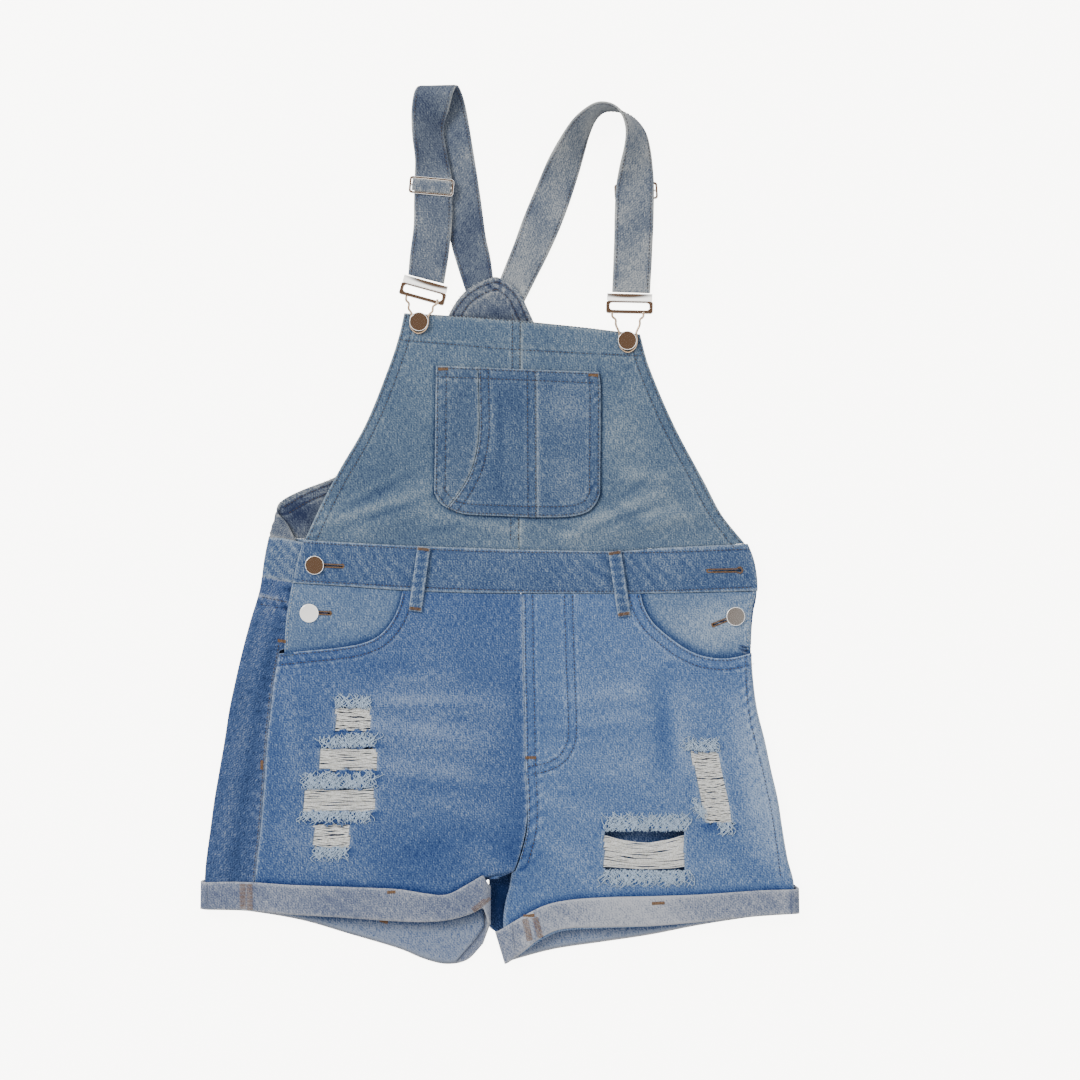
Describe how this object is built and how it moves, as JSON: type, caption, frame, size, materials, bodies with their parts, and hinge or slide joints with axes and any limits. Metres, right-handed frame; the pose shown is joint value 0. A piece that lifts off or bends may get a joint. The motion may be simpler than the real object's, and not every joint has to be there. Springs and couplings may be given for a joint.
{
  "type": "denim dungaree shorts",
  "caption": "Denim dungaree shorts laid flat: bib with pieced pocket, buckled straps, side button openings, ripped legs with turned-up hems.",
  "frame": {"origin": "middle of the garment's outline, on the surface that it lies on", "axes": "+X to the viewer's right, +Y up the garment from the hems to the straps, +Z away from the surface"},
  "size_m": [0.5216, 0.7645, 0.0328],
  "materials": {
    "bib_denim": "faded grey-blue twill",
    "leg_denim": "light blue twill, faded on the thighs",
    "deep_denim": "blue twill, less faded",
    "pale_denim": "pale faded twill with worn edges",
    "inside_denim": "inner side of the twill, grey with white weft",
    "weft_thread": "loose cream cotton threads",
    "frayed_warp": "loose pale blue cotton ends",
    "polished_metal": "polished nickel"
  },
  "bodies": {
    "root": {"bib_left": "bib_denim", "bib_right": "bib_denim", "front_left": "leg_denim", "front_right": "leg_denim", "back_left": "leg_denim", "back_right": "leg_denim", "back_yoke_left": "leg_denim", "back_yoke_right": "leg_denim", "waistband_front": "leg_denim", "waistband_back": "leg_denim", "belt_loop_left": "leg_denim", "belt_loop_right": "leg_denim", "pocket_centre": "leg_denim", "pocket_right": "leg_denim", "pocket_side": "deep_denim", "hip_facing_left": "pale_denim", "hip_facing_right": "pale_denim", "strap_left": "pale_denim", "strap_right": "pale_denim", "back_bib": "inside_denim", "cuff_left": "inside_denim", "cuff_right": "inside_denim", "rip_threads_left_1": "weft_thread", "rip_threads_left_2": "weft_thread", "rip_threads_left_3": "weft_thread", "rip_threads_left_4": "weft_thread", "rip_threads_right_1": "weft_thread", "rip_threads_right_2": "weft_thread", "fray_left_1": "frayed_warp", "fray_left_2": "frayed_warp", "fray_left_3": "frayed_warp", "fray_left_4": "frayed_warp", "fray_left_5": "frayed_warp", "fray_right_1": "frayed_warp", "fray_right_2": "frayed_warp", "fray_right_3": "frayed_warp", "fray_right_4": "frayed_warp", "fray_right_5": "frayed_warp", "slider_left": "polished_metal", "slider_right": "polished_metal", "buckle_frame_left": "polished_metal", "buckle_frame_right": "polished_metal", "buckle_hook_left": "polished_metal", "buckle_hook_right": "polished_metal", "button_bib_left": "polished_metal", "button_bib_right": "polished_metal", "button_waist_left": "polished_metal", "button_hip_left": "polished_metal", "button_hip_right": "polished_metal"}
  },
  "joints": []
}
